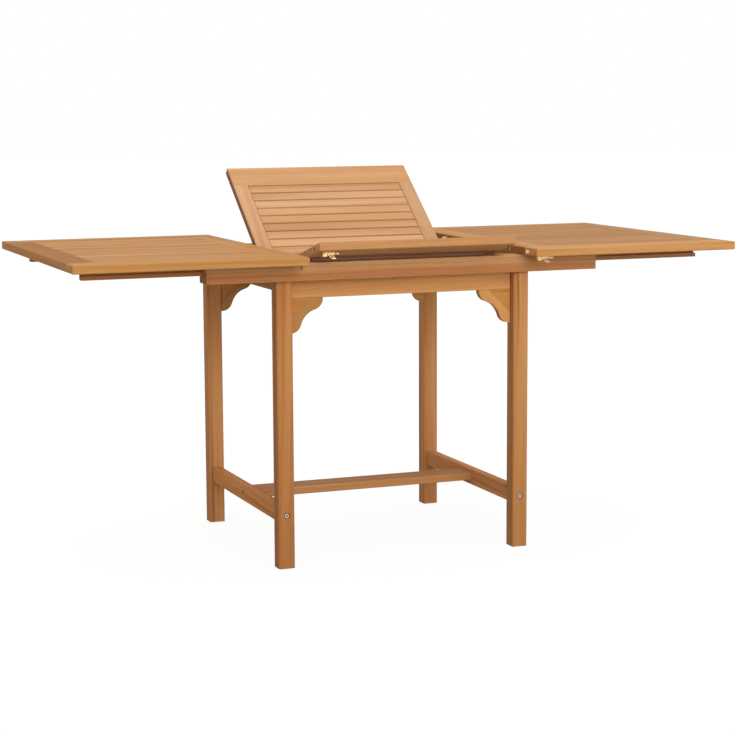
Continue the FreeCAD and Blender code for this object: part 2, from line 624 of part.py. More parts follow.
def hinge_pocket(centre_x):
    """The wood taken away for one hinge in both halves."""
    half = HINGE_KNUCKLES * HINGE_KNUCKLE_LENGTH / 2 + HINGE_KNUCKLE_GAP
    depth = SEAM_GAP + HINGE_PLATE_THICKNESS + HINGE_PIN_FIT
    x_ends = (centre_x - half, centre_x + half)
    slot = box(x_ends, (-depth, depth), (TABLE_HEIGHT - HINGE_PLATE_DEPTH - HINGE_PIN_FIT, TABLE_HEIGHT))
    return slot.fuse(seam_rod(HINGE_BARREL_RADIUS + SEAM_GAP, *x_ends))


def hinge_pin(centre_x):
    """The steel pin through one hinge barrel."""
    half = HINGE_KNUCKLES * HINGE_KNUCKLE_LENGTH / 2
    return seam_rod(HINGE_PIN_RADIUS, centre_x - half, centre_x + half)


def tilted(shape):
    """Turn a piece of the front half from lying flat to its photographed tilt."""
    turned = shape.copy()
    turned.rotate(Vector(0, PIVOT_Y, PIVOT_Z), X_AXIS, -LEAF_TILT)
    return turned


def raised(shape):
    """Turn a piece of the back half about the leaf hinge, and on with the front half's tilt."""
    turned = shape.copy()
    turned.rotate(Vector(0, 0, TABLE_HEIGHT), X_AXIS, LEAF_TILT + LEAF_RISE)
    return tilted(turned)


def build_frame():
    """Legs, aprons, brackets, stretchers, rails and stops."""
    brackets = []
    fillers = []
    blocks = []
    for side_x, name_x in zip(BOTH_SIDES, ("left", "right")):
        for side_y, name_y in zip(BOTH_SIDES, ("front", "back")):
            add(f"leg_{name_y}_{name_x}", make_leg(side_x, side_y))
            brackets.append(make_bracket(side_x, side_y))
            fillers.append(make_filler(side_x, side_y))
            blocks.append(make_stop_block(side_x, side_y))
        add(f"end_stretcher_{name_x}", make_end_stretcher(side_x))
        add(f"end_apron_{name_x}", make_end_apron(side_x))
    add("centre_stretcher", make_centre_stretcher())
    for side_y, name_y in zip(BOTH_SIDES, ("front", "back")):
        add(f"apron_{name_y}", make_long_apron(side_y))
        add(f"rail_{name_y}", make_rail(side_y))
        add(f"rail_cap_{name_y}", make_cap(side_y))
    add("corner_brackets", *brackets)
    add("bracket_fillers", *fillers)
    add("runner_stop_blocks", *blocks)
    add("leaf_pivot_brackets", *[make_frame_pivot(side_x) for side_x in BOTH_SIDES])


def build_top(name, side_x, inner_edge):
    """One sliding top with its runners and pins; the right top has hooks, the left top has catches."""
    inner_x = side_x * inner_edge
    x_ends = sorted((inner_x, inner_x + side_x * TOP_LENGTH))
    y_ends = (-HALF_WIDTH, HALF_WIDTH)
    rails, stiles, slats = framed_panel(x_ends, y_ends, (TOP_RAIL_WIDTH, TOP_RAIL_WIDTH), TOP_STILE_WIDTH)
    for board, label in zip(rails, ("front", "back")):
        add(f"{name}_side_board_{label}", board)
    for board, label in zip(stiles, ("inner", "outer") if side_x > 0 else ("outer", "inner")):
        add(f"{name}_end_board_{label}", board)
    add(f"{name}_slats", *slats)
    add(f"{name}_batten", *make_battens(side_x, inner_edge))
    add(f"{name}_runners", *[make_runner(side_x, side_y, inner_edge) for side_y in BOTH_SIDES])
    add(f"{name}_stop_cleats", *[make_stop_cleat(side_x, side_y, inner_edge) for side_y in BOTH_SIDES])
    add(f"{name}_pins", *[locating_pin(inner_x, -side_x, y) for y in PIN_ROWS])
    if side_x > 0:
        stud_x = inner_x + side_x * HOOK_PIVOT_INSET
        add(f"{name}_hook_studs", *[hook_stud(stud_x, side_y * HOOK_Y) for side_y in BOTH_SIDES])
        add("hook_front_right", swing_hook(stud_x, -HOOK_Y, 1))
        add("hook_back_right", swing_hook(stud_x, HOOK_Y, -1))
    else:
        stud_x = inner_x + side_x * HOOK_CATCH_INSET
        add(f"{name}_catches", *[catch_stud(stud_x, side_y * HOOK_Y) for side_y in BOTH_SIDES])


def build_leaf_half(name, side_y, placed):
    """One half of the leaf, made lying flat and then placed: hook left, catch right, holes at both ends."""
    y_ends = sorted((side_y * SEAM_GAP, side_y * HALF_WIDTH))
    rail_widths = {"outer_rail": LEAF_OUTER_RAIL_WIDTH, "hinge_rail": LEAF_HINGE_RAIL_WIDTH}
    labels = ("outer_rail", "hinge_rail") if side_y < 0 else ("hinge_rail", "outer_rail")
    widths = [rail_widths[label] for label in labels]
    rails, stiles, slats = framed_panel((-LEAF_END, LEAF_END), y_ends, widths, LEAF_STILE_WIDTH)
    cuts = [hinge_pocket(side_x * HINGE_X) for side_x in BOTH_SIDES]
    for side_x in BOTH_SIDES:
        cuts += pin_holes(side_x * LEAF_END, side_x)
    for board, label in zip(rails, labels):
        add(f"{name}_{label}", placed(cut_all(board, cuts)))
    add(f"{name}_stiles", *[placed(cut_all(board, cuts)) for board in stiles])
    add(f"{name}_slats", *[placed(piece) for piece in slats])
    add(f"{name}_hinge_plates", *[placed(hinge_plate(x, side_y)) for x in (-HINGE_X, HINGE_X)])
    stud_x = -LEAF_END + HOOK_PIVOT_INSET
    studs = [hook_stud(stud_x, side_y * HOOK_Y), catch_stud(LEAF_END - HOOK_CATCH_INSET, side_y * HOOK_Y)]
    add(f"{name}_studs", *[placed(piece) for piece in studs])
    label = "front" if side_y < 0 else "back"
    add(f"hook_{label}_left", placed(swing_hook(stud_x, side_y * HOOK_Y, -side_y)))


build_frame()
build_top("left_top", -1, LEFT_OPENING)
build_top("right_top", 1, RIGHT_OPENING)
build_leaf_half("leaf_front", -1, tilted)
build_leaf_half("leaf_back", 1, raised)
add("leaf_front_lugs", *[tilted(make_leaf_lug(side_x)) for side_x in BOTH_SIDES])
add("leaf_hinge_pins", *[tilted(hinge_pin(x)) for x in (-HINGE_X, HINGE_X)])

os.makedirs("parts", exist_ok=True)
for node_name, shape in nodes.items():
    if not shape.isValid() or shape.Volume <= 0:
        raise ValueError(f"{node_name} is not a sound solid")
    shape.exportStep(f"parts/{node_name}.step")
print(len(nodes), "nodes,", sum(len(shape.Solids) for shape in nodes.values()), "solids")
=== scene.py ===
"""Looks of the extending garden table: oiled teak boards, brass hooks and pins, plated steel fastenings."""
import json
import math
import random

import bmesh
import bpy
from mathutils import Matrix, Vector


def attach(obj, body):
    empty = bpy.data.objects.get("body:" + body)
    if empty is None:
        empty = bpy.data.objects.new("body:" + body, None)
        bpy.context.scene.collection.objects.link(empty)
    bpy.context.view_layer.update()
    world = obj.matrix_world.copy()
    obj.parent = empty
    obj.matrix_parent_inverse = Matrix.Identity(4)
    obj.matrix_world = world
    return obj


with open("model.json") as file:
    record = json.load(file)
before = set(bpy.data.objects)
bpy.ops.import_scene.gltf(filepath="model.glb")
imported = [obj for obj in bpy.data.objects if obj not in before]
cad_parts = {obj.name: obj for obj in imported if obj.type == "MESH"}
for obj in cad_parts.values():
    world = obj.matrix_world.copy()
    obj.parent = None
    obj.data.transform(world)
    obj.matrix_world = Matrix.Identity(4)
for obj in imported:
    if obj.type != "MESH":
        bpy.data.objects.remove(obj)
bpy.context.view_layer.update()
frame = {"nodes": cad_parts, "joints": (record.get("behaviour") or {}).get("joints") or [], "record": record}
MM = 0.001

# Where the photograph was taken from, in millimetres, degrees and pixels of the picture
CAMERA_PLACE = Vector((-1787.2, -4618.3, 1119.4)) * MM
CAMERA_YAW, CAMERA_PITCH, CAMERA_ROLL = 21.37, 7.96, -0.29
FOCAL_PIXELS, PICTURE_PIXELS, SENSOR_WIDTH = 1962.6, 736, 36.0

# Light: a soft key from the front, a little above the table, and a sky that is brighter overhead
KEY_FROM = Vector((-0.05, -0.97, 0.24))
KEY_STRENGTH, KEY_SOFTNESS = 1.55, 32.0
SKY_LOW, SKY_HIGH, SKY_SEEN = 0.4, 1.0, 1.0
WHITE = (1.0, 1.0, 1.0, 1.0)

# Floor: its size in metres, its own pale grey, and the glow that only the eye sees mixed in with it
FLOOR_SIZE, FLOOR_GREY = 60.0, (0.4, 0.4, 0.4, 1.0)
FLOOR_GLOW, FLOOR_GLOW_SHARE = 1.34, 0.68

# Directions along the table, across it and up; the corner brackets rise towards the middle on either side
ROW_AXES = {"X": Vector((1, 0, 0)), "Y": Vector((0, 1, 0)), "Z": Vector((0, 0, 1))}
BRACE_SLOPE = Vector((-1, 0, 1)).normalized()
# How far to each side of the table's middle a finish changes that differs between left and right
MIDDLE_BLUR = 1.0 * MM


def shade(red, green, blue):
    """A colour given in the usual 0 to 255 steps, as the linear colour that shaders take."""
    steps = [step / 255 for step in (red, green, blue)]
    linear = [s / 12.92 if s <= 0.04045 else ((s + 0.055) / 1.055) ** 2.4 for s in steps]
    return (*linear, 1.0)


class Value:
    """A socket of a finish. Python's operators on number sockets add Math nodes."""

    def __init__(self, finish, socket):
        self.finish = finish
        self.socket = socket

    def math(self, operation, first, second=0.0):
        sockets = {"Value": first, "Value_001": second}
        return self.finish.node("Math", {"operation": operation}, sockets)["Value"]

    def __add__(self, other):
        return self.math("ADD", self, other)

    def __radd__(self, other):
        return self.math("ADD", other, self)

    def __sub__(self, other):
        return self.math("SUBTRACT", self, other)

    def __rsub__(self, other):
        return self.math("SUBTRACT", other, self)

    def __mul__(self, other):
        return self.math("MULTIPLY", self, other)

    def __rmul__(self, other):
        return self.math("MULTIPLY", other, self)

    def __truediv__(self, other):
        return self.math("DIVIDE", self, other)

    def __rtruediv__(self, other):
        return self.math("DIVIDE", other, self)

    def __pow__(self, power):
        return self.math("POWER", self, power)

    def __rpow__(self, base):
        return self.math("POWER", base, self)

    def __abs__(self):
        return self.math("ABSOLUTE", self)

    def __floor__(self):
        return self.math("FLOOR", self)

    def least(self, other):
        return self.math("MINIMUM", self, other)

    def most(self, other):
        return self.math("MAXIMUM", self, other)

    def between(self, low, high):
        """0 up to low, 1 from high, and a smooth rise between them."""
        sockets = {"Value": self, "From Min": low, "From Max": high}
        return self.finish.node("MapRange", {"interpolation_type": "SMOOTHSTEP"}, sockets)["Result"]


class Made:
    """A node that has been added. Its outputs are taken by name, as Values."""

    def __init__(self, finish, node):
        self.finish = finish
        self.node = node

    def __getitem__(self, name):
        return Value(self.finish, find_socket(self.node.outputs, name))


def find_socket(sockets, name):
    """The socket with that identifier or, if none has it, that name."""
    named = [s for s in sockets if s.identifier == name] or [s for s in sockets if s.name == name]
    return named[0]


class Finish:
    """The nodes of one material or of the sky."""

    def __init__(self, owner):
        owner.use_nodes = True
        self.owner = owner
        self.tree = owner.node_tree
        self.tree.nodes.clear()

    def node(self, kind, settings=None, sockets=None):
        """Adds a node: first its settings, then the values or links of its sockets."""
        made = self.tree.nodes.new("ShaderNode" + kind)
        for name, setting in (settings or {}).items():
            setattr(made, name, setting)
        for name, given in (sockets or {}).items():
            socket = find_socket(made.inputs, name)
            if isinstance(given, Value):
                self.tree.links.new(given.socket, socket)
            else:
                socket.default_value = given
        return Made(self, made)

    def vector(self, x, y, z):
        return self.node("CombineXYZ", {}, {"X": x, "Y": y, "Z": z})["Vector"]

    def dot(self, vector, direction):
        sockets = {"Vector": vector, "Vector_001": direction}
        return self.node("VectorMath", {"operation": "DOT_PRODUCT"}, sockets)["Value"]

    def mix(self, first, second, share):
        """Colour first where share is 0, going to colour second where share is 1."""
        sockets = {"Factor_Float": share, "A_Color": first, "B_Color": second}
        return self.node("Mix", {"data_type": "RGBA"}, sockets)["Result_Color"]

    def noise(self, vector, detail=2.0, rough=0.5):
        sockets = {"Vector": vector, "Scale": 1.0, "Detail": detail, "Roughness": rough}
        return self.node("TexNoise", {"noise_dimensions": "3D"}, sockets)["Fac"]

    def place(self):
        """Where a point is on the table at rest, in metres."""
        return self.node("TexCoord")["Object"]

    def steps(self, along_x, along_y, along_z):
        """Where a point is on the table at rest, in steps of so many to the metre."""
        sockets = {"Vector": self.place(), "Vector_001": (along_x, along_y, along_z)}
        return self.node("VectorMath", {"operation": "MULTIPLY"}, sockets)["Vector"]

    def right_half(self):
        """0 left of the table's middle and 1 right of it."""
        return self.dot(self.place(), ROW_AXES["X"]).between(-MIDDLE_BLUR, MIDDLE_BLUR)

    def bump(self, height, depth, strength):
        sockets = {"Height": height, "Distance": depth, "Strength": strength}
        return self.node("Bump", {}, sockets)["Normal"]

    def surface(self, sockets):
        """Ends a material with one Principled shader."""
        shader = self.node("BsdfPrincipled", {}, sockets)["BSDF"]
        self.node("OutputMaterial", {}, {"Surface": shader})


def new_finish(name):
    return Finish(bpy.data.materials.new(name))


# Corners this near are one corner; boards in one row have the same middle, to so many digits of a metre;
# a face looks along the grain if their directions agree by more than this
WELD, ROW_DIGITS, END_ON = 0.01 * MM, 4, 0.9


class Lie:
    """How one node's boards lie: directions along, across and through them, their rows and half sizes."""

    def __init__(self, node, grain):
        mesh = frame["nodes"][node].data
        solids = loose_solids(mesh)
        self.mirrored = grain == "brace"
        if self.mirrored:
            solids = [[Vector(map(abs, corner)) for corner in solid] for solid in solids]
        through = max(mesh.polygons, key=lambda face: face.area).normal.copy()
        slope = BRACE_SLOPE if self.mirrored else through.cross(ROW_AXES["X"])
        along = ROW_AXES.get(grain, slope)
        if abs(through.dot(along)) > END_ON:
            through = along.orthogonal()
        self.axes = (along, through.cross(along), through)
        self.firsts, self.pitches, self.halves = zip(*(row_of(solids, axis) for axis in self.axes))


def row_of(solids, axis):
    """Along one direction: the middle of the first board, the step to the next and half a board's size."""
    spans = []
    for corners in solids:
        reaches = [corner.dot(axis) for corner in corners]
        spans.append((min(reaches), max(reaches)))
    middles = sorted({round((low + high) / 2, ROW_DIGITS) for low, high in spans})
    pitch = (middles[-1] - middles[0]) / (len(middles) - 1) if len(middles) > 1 else 0
    low, high = spans[0]
    return middles[0], pitch, (high - low) / 2


def loose_solids(mesh):
    """The corner places of each separate solid in a mesh."""
    whole = bmesh.new()
    whole.from_mesh(mesh)
    bmesh.ops.remove_doubles(whole, verts=whole.verts, dist=WELD)
    solids, taken = [], set()
    for first in whole.verts:
        if first in taken:
            continue
        reached = [first]
        taken.add(first)
        for vert in reached:
            beside = [edge.other_vert(vert) for edge in vert.link_edges]
            fresh = [other for other in beside if other not in taken]
            taken.update(fresh)
            reached.extend(fresh)
        solids.append([vert.co.copy() for vert in reached])
    whole.free()
    return solids


# Teak tones, each as light, middle, dark line and pore colours
TONES = {
    "top": (shade(212, 153, 90), shade(197, 138, 77), shade(150, 96, 48), shade(104, 64, 32)),
    "leaf": (shade(222, 170, 122), shade(206, 152, 105), shade(166, 112, 68), shade(106, 62, 32)),
    "frame": (shade(205, 146, 86), shade(188, 127, 70), shade(142, 86, 43), shade(94, 56, 28)),
}
# How much the oil shines on each tone
SHEEN = {"top": 0.16, "leaf": 0.08, "frame": 0.08}
# Boards that differ by more than this get painted shade on their rims, this much, for the gaps between them;
# others have rims worn light, which also paints a highlight on the arrises
EVEN_SPREAD = 0.06
RIM_SHADE = {"top": 0.48, "leaf": 0.36}


def wood(tone, grain, level=1.0, rich=1.0, spread=EVEN_SPREAD, ends=0.2, streak=0.3, red=0.0, right=1.0):
    """An entry of WOODS, where the values are explained."""
    return {
        "tone": tone, "grain": grain, "level": level, "rich": rich, "red": red,
        "spread": spread, "ends": ends, "streak": streak, "right": right,
    }


# Tone and grain of each wooden node; how light, rich and red its colour is; how much its boards differ, how
# dark its end faces are (end grain, and painted shade on side faces that look along the table) and how strong
# its dark streaks; how much lighter it is right of the middle.
# The grain of the leaf's stiles runs up its slope, and that of the corner brackets along their brace.
WOODS = {
    "leg": wood("frame", "Z", 1.09, 0.96, streak=0.9),
    "leg_front_left": wood("frame", "Z", 0.98, 1.04, streak=0.6, red=0.003),
    "leg_back_left": wood("frame", "Z", 1.2, 0.99, streak=0.8),
    # Painted light: this leg is made lighter to make up for the shade on its front face
    "leg_back_right": wood("frame", "Z", 1.28, 0.93, streak=0.9),
    "apron": wood("frame", "X", 1.24, 0.98, red=-0.004),
    "end_apron": wood("frame", "Y"),
    "rail_cap": wood("frame", "X", 1.16, 0.87, red=-0.008),
    "rail": wood("frame", "X", 1.0, 0.96, red=0.006),
    "corner_brackets": wood("frame", "brace", 0.84, 0.96, ends=0.0, right=1.4),
    "bracket_fillers": wood("frame", "X", 1.08),
    "end_stretcher": wood("frame", "Y", 1.32, red=0.005),
    "centre_stretcher": wood("frame", "X", 0.96, 0.92),
    "runner_stop_blocks": wood("frame", "X"),
    "left_top_side_board": wood("top", "X", 0.98, 1.02, ends=0.25),
    "left_top_side_board_back": wood("top", "X", 0.84, 1.02, 0.08, ends=0.25),
    "left_top_end_board": wood("top", "Y", ends=0.35),
    "left_top_end_board_outer": wood("top", "Y", 0.73, 1.08, ends=0.0, red=0.005),
    "left_top_slats": wood("top", "X", 1.03, 1.0, 0.2, streak=0.4),
    "left_top": wood("frame", "Y"),
    "left_top_runners": wood("frame", "X", 0.96, red=0.005),
    "right_top_side_board": wood("top", "X", 1.06, ends=0.05),
    "right_top_side_board_back": wood("top", "X", 0.86, 1.0, 0.08, ends=0.05),
    "right_top_end_board": wood("top", "Y", 0.84, 1.0, 0.08, ends=0.45),
    "right_top_end_board_inner": wood("top", "Y", 0.96, ends=0.62),
    "right_top_slats": wood("top", "X", 0.9, 1.0, 0.2, streak=0.4),
    "right_top": wood("frame", "Y"),
    "right_top_runners": wood("frame", "X", 0.85, 0.9, red=0.006),
    "leaf_front_outer_rail": wood("top", "X", 0.94, 0.99, ends=0.0, red=0.002),
    "leaf_front_hinge_rail": wood("leaf", "X"),
    "leaf_front_stiles": wood("leaf", "slope"),
    "leaf_front_slats": wood("leaf", "X", 0.96, 0.97, 0.12),
    "leaf_back_outer_rail": wood("leaf", "X", 1.0, 0.97, ends=0.75),
    "leaf_back_hinge_rail": wood("leaf", "X"),
    "leaf_back_stiles": wood("leaf", "slope", 0.98, 0.96, 0.0, ends=0.75, right=0.86),
    "leaf_back_slats": wood("leaf", "X", 0.95, 0.96, 0.12),
}


def wood_of(node):
    """The wood of a node, by the longest name that it starts with."""
    return WOODS[max((start for start in WOODS if node.startswith(start)), key=len)]


# The pith of the tree, in metres from a board: how far it varies to the side, how near and how much deeper
PITH_ASIDE, PITH_NEAR, PITH_DEEPER = 0.24, 0.035, 0.09
# How far the rings wander, in what steps to the metre, and how far they run out in a metre of board
RING_DRIFT, DRIFT_ALONG, DRIFT_ACROSS, RING_SLANT = 0.016, 1.6, 7.0, 0.012
# Layers of the grain: steps to the metre across the rings and along the board, detail and roughness of the
# noise, and the noise at which the layer starts and is full
GRAIN = {
    "broad": {"across": 42, "along": 0.9, "detail": 2.0, "rough": 0.5, "start": 0.36, "full": 0.64},
    "streaks": {"across": 85, "along": 0.7, "detail": 1.0, "rough": 0.5, "start": 0.58, "full": 0.72},
    "lines": {"across": 190, "along": 1.3, "detail": 3.0, "rough": 0.6, "start": 0.5, "full": 0.78},
}
# Fibres by steps across the rings, along and across the board; pores and scuffs by steps in the board
FIBRE_RINGS, FIBRE_ALONG, FIBRE_ACROSS = 900, 9.0, 120
PORE_ACROSS, PORE_ALONG, SCUFF_STEPS = 1500, 62, 60
PORES_START_FULL, FIBRES_START_FULL, SCUFFS_START_FULL = (0.62, 0.74), (0.52, 0.8), (0.35, 0.7)
# How strongly lines, pores, fibres and worn rims colour the wood; the rims' lightening is also a painted
# highlight
LINE_SHARE, PORE_SHARE, FIBRE_SHARE, RIM_WEAR_AND_HIGHLIGHT = 0.4, 0.22, 0.22, 0.55
# Where a rim starts to fade and is gone, from the edge inwards; how squarely an end face looks along its axis
RIM_FADE, FACING_ALONG_START_FULL = (0.4 * MM, 3.2 * MM), (0.6, 0.9)
# Painted shade low on the legs: how far up it reaches, in metres, and how dark it is at the feet
FOOT_SHADE_HEIGHT, FOOT_SHADE = 0.6, 0.42
# Hue and richness, with how much they differ from board to board
HUE, HUE_SPREAD, RICHNESS, RICHNESS_SPREAD = 0.499, 0.002, 0.96, 0.08
# Roughness of the oiled wood and what each layer adds; how high each layer stands, how deep and strong that is
OILED_ROUGHNESS = 0.6
ROUGHER = {"lines": 0.1, "pores": 0.12, "worn": -0.08}
RELIEF = {"fibres": 0.5, "pores": -0.8, "lines": -0.35}
RELIEF_DEPTH, RELIEF_STRENGTH = 0.25 * MM, 0.55
# What keeps boards apart in the noise: a step for each row, board and node, and one for the streaks
ROW_STEP, BOARD_STEP, NODE_STEP, STREAK_STEP = 7.0, 3.7, 1.37, 9.0


def place_in_board(finish, lie):
    """Where a point lies from the middle of its own board, and a number that differs from board to board."""
    place = finish.place()
    if lie.mirrored:
        place = finish.node("VectorMath", {"operation": "ABSOLUTE"}, {"Vector": place})["Vector"]
    spot, tally = [], 0
    for axis, first, pitch in zip(lie.axes, lie.firsts, lie.pitches):
        reach = finish.dot(place, axis) - first
        if pitch:
            turn = math.floor(reach / pitch + 0.5)
            tally = tally * ROW_STEP + turn
            reach = reach - turn * pitch
        spot.append(reach)
    return spot, tally


def board_dice(finish, tally, seed):
    """Three numbers from 0 to 1 that stay the same over one board."""
    if not isinstance(tally, Value):
        draw = random.Random(seed)
        return [draw.random() for _ in range(3)]
    colour = finish.node("TexWhiteNoise", {"noise_dimensions": "1D"}, {"W": tally + seed})["Color"]
    parts = finish.node("SeparateColor", {}, {"Color": colour})
    return [parts[name] for name in ("Red", "Green", "Blue")]


def edge_reach(spot, halves):
    """How far a point is from the nearest edge of its board."""
    a, b, c = (half - abs(reach) for half, reach in zip(halves, spot))
    return a.least(b).most(a.most(b).least(c))


def grain_layer(finish, layer, ring, along, shift):
    """One of the layers in GRAIN: bands that follow the rings."""
    steps = finish.vector(ring * layer["across"], along * layer["along"], shift)
    return finish.noise(steps, layer["detail"], layer["rough"]).between(layer["start"], layer["full"])


def teak(name, lie, kind, seed):
    """Oiled teak: rings about a far pith, streaks, fibres and pores along the grain, boards that differ."""
    finish = new_finish(name)
    light, middle, dark, pore = TONES[kind["tone"]]
    spot, tally = place_in_board(finish, lie)
    along, across, through = spot
    side, depth, slant = board_dice(finish, tally, seed)
    shift = tally * BOARD_STEP + seed

    wander = finish.vector(along * DRIFT_ALONG + shift, across * DRIFT_ACROSS, through * DRIFT_ACROSS)
    aside = across - (side - 0.5) * PITH_ASIDE
    below = through + depth * PITH_DEEPER + PITH_NEAR
    pith = (aside ** 2 + below ** 2) ** 0.5
    ring = pith + (finish.noise(wander) - 0.5) * RING_DRIFT + along * (slant - 0.5) * RING_SLANT
    broad = grain_layer(finish, GRAIN["broad"], ring, along, shift)
    streaks = grain_layer(finish, GRAIN["streaks"], ring, along, shift + STREAK_STEP)
    lines = grain_layer(finish, GRAIN["lines"], ring, along, shift)
    fibre_steps = finish.vector(ring * FIBRE_RINGS, along * FIBRE_ALONG, across * FIBRE_ACROSS)
    fibres = finish.noise(fibre_steps, detail=2.0, rough=0.6)
    pore_steps = finish.vector(across * PORE_ACROSS, through * PORE_ACROSS, along * PORE_ALONG)
    pores = finish.noise(pore_steps, detail=1.0).between(*PORES_START_FULL)
    scuff_steps = finish.vector(*(reach * SCUFF_STEPS for reach in spot))
    scuffs = finish.noise(scuff_steps, detail=3.0).between(*SCUFFS_START_FULL)
    rim = 1 - edge_reach(spot, lie.halves).between(*RIM_FADE)
    worn = rim * scuffs

    colour = finish.mix(middle, light, broad)
    colour = finish.mix(colour, dark, streaks * kind["streak"])
    colour = finish.mix(colour, dark, lines * LINE_SHARE)
    colour = finish.mix(colour, pore, pores * PORE_SHARE)
    colour = finish.mix(colour, dark, fibres.between(*FIBRES_START_FULL) * FIBRE_SHARE)
    # End faces darker: end grain, and painted shade on side faces that look along the table
    facing_axis = lie.axes[0] if kind["tone"] == "frame" else ROW_AXES["X"]
    facing_along = abs(finish.dot(finish.node("TexCoord")["Normal"], facing_axis)).between(*FACING_ALONG_START_FULL)
    colour = finish.mix(colour, pore, facing_along * kind["ends"])
    if kind["spread"] > EVEN_SPREAD:
        # Painted shade along the gaps between boards
        colour = finish.mix(colour, pore, rim * RIM_SHADE[kind["tone"]])
    else:
        # Rims lighter where worn, and also a painted highlight on the arrises
        colour = finish.mix(colour, light, worn * RIM_WEAR_AND_HIGHLIGHT)
    # Painted shade: the legs get darker towards the feet
    if lie.axes[0] == ROW_AXES["Z"]:
        height = finish.dot(finish.place(), ROW_AXES["Z"])
        colour = finish.mix(colour, dark, (1 - height.between(0.0, FOOT_SHADE_HEIGHT)) * FOOT_SHADE)
    tint = {
        "Hue": HUE - kind["red"] + depth * HUE_SPREAD,
        "Saturation": kind["rich"] * (RICHNESS + side * RICHNESS_SPREAD),
        "Value": kind["level"] * (1 - kind["spread"] / 2 + slant * kind["spread"]),
    }
    if kind["right"] != 1:
        tint["Value"] = tint["Value"] * (1 + finish.right_half() * (kind["right"] - 1))

    layers = {"fibres": fibres, "pores": pores, "lines": lines, "worn": worn}
    relief = sum(layers[layer] * height for layer, height in RELIEF.items())
    finish.surface({
        "Base Color": finish.node("HueSaturation", {}, {**tint, "Color": colour})["Color"],
        "Roughness": sum((layers[layer] * more for layer, more in ROUGHER.items()), OILED_ROUGHNESS),
        "Normal": finish.bump(relief, RELIEF_DEPTH, RELIEF_STRENGTH),
        "Specular IOR Level": SHEEN[kind["tone"]],
    })
    return finish.owner


# Brass, clean and tarnished: bright on the hooks and pins, brown on the catches as a painted shade. Marks are
# in steps to the metre, here and below, with the noise at which they start and are full and the roughness they
# add.
BRIGHT_BRASS = (shade(228, 194, 138), shade(150, 108, 60))
SHADED_BRASS = (shade(122, 88, 48), shade(70, 46, 26))
TARNISH_STEPS, TARNISH_START_FULL, TARNISH_SHARE = (90.0, 90.0, 90.0), (0.5, 0.75), 0.7
DRAW_STEPS, DRAW_DEPTH, DRAW_STRENGTH = (300.0, 2200.0, 2200.0), 0.05 * MM, 0.4
BRASS_ROUGHNESS, TARNISH_ROUGHER, DRAW_ROUGHER = 0.24, 0.22, 0.1
# Zinc, clean and spangled: bright on bolts and screws, dark on the leaf's lugs and brackets as a painted shade
BRIGHT_ZINC = (shade(206, 207, 206), shade(160, 162, 164))
SHADED_ZINC = (shade(112, 104, 95), shade(80, 74, 68))
SPANGLE_STEPS, SPANGLE_START_FULL, SPANGLE_SHARE = (700.0, 700.0, 700.0), (0.1, 0.8), 0.7
CLOUD_STEPS, CLOUD_DEPTH, CLOUD_STRENGTH = (160.0, 160.0, 160.0), 0.05 * MM, 0.3
ZINC_ROUGHNESS, CLOUD_ROUGHER = 0.26, 0.22
# A bolt's socket: brown as a painted shade, a little worn
SOCKET_SHADE = (shade(104, 90, 76), shade(140, 126, 110))
WEAR_STEPS, WEAR_START_FULL = (900.0, 900.0, 900.0), (0.45, 0.7)
SOCKET_ROUGHNESS, WEAR_ROUGHER, SOCKET_SHEEN = 0.5, 0.2, 0.3
# A plug's end grain, light and dark
PLUG_BROWN = (shade(168, 112, 62), shade(118, 72, 38))
END_GRAIN_STEPS, END_GRAIN_START_FULL = (1400.0, 1400.0, 1400.0), (0.35, 0.7)
END_GRAIN_DEPTH, END_GRAIN_STRENGTH = 0.1 * MM, 0.5
PLUG_ROUGHNESS, END_GRAIN_ROUGHER, PLUG_SHEEN = 0.6, 0.2, 0.16


def brass(name, colours, right_colours=None):
    """Drawn brass with faint draw marks and darker tarnish. Right of the middle it can take other colours, a
    painted shade.
    """
    finish = new_finish(name)
    if right_colours:
        right = finish.right_half()
        colours = [finish.mix(*pair, right) for pair in zip(colours, right_colours)]
    tarnish = finish.noise(finish.steps(*TARNISH_STEPS), detail=3.0).between(*TARNISH_START_FULL)
    marks = finish.noise(finish.steps(*DRAW_STEPS), detail=2.0)
    finish.surface({
        "Base Color": finish.mix(*colours, tarnish * TARNISH_SHARE),
        "Metallic": 1.0,
        "Roughness": BRASS_ROUGHNESS + tarnish * TARNISH_ROUGHER + marks * DRAW_ROUGHER,
        "Normal": finish.bump(marks, DRAW_DEPTH, DRAW_STRENGTH),
    })
    return finish.owner


def plated_steel(name, colours):
    """Zinc-plated steel: cool grey with a fine spangle."""
    finish = new_finish(name)
    sockets = {"Vector": finish.steps(*SPANGLE_STEPS), "Scale": 1.0}
    spangle = finish.node("TexVoronoi", {"feature": "F1"}, sockets)["Distance"]
    cloud = finish.noise(finish.steps(*CLOUD_STEPS), detail=3.0)
    finish.surface({
        "Base Color": finish.mix(*colours, spangle.between(*SPANGLE_START_FULL) * SPANGLE_SHARE),
        "Metallic": 1.0,
        "Roughness": ZINC_ROUGHNESS + cloud * CLOUD_ROUGHER,
        "Normal": finish.bump(cloud, CLOUD_DEPTH, CLOUD_STRENGTH),
    })
    return finish.owner


def socket_steel():
    """The inside of a bolt's socket: brown as a painted shade, a little worn."""
    finish = new_finish("steel_socket")
    wear = finish.noise(finish.steps(*WEAR_STEPS), detail=2.0).between(*WEAR_START_FULL)
    finish.surface({
        "Base Color": finish.mix(*SOCKET_SHADE, wear),
        "Roughness": SOCKET_ROUGHNESS + wear * WEAR_ROUGHER,
        "Specular IOR Level": SOCKET_SHEEN,
    })
    return finish.owner


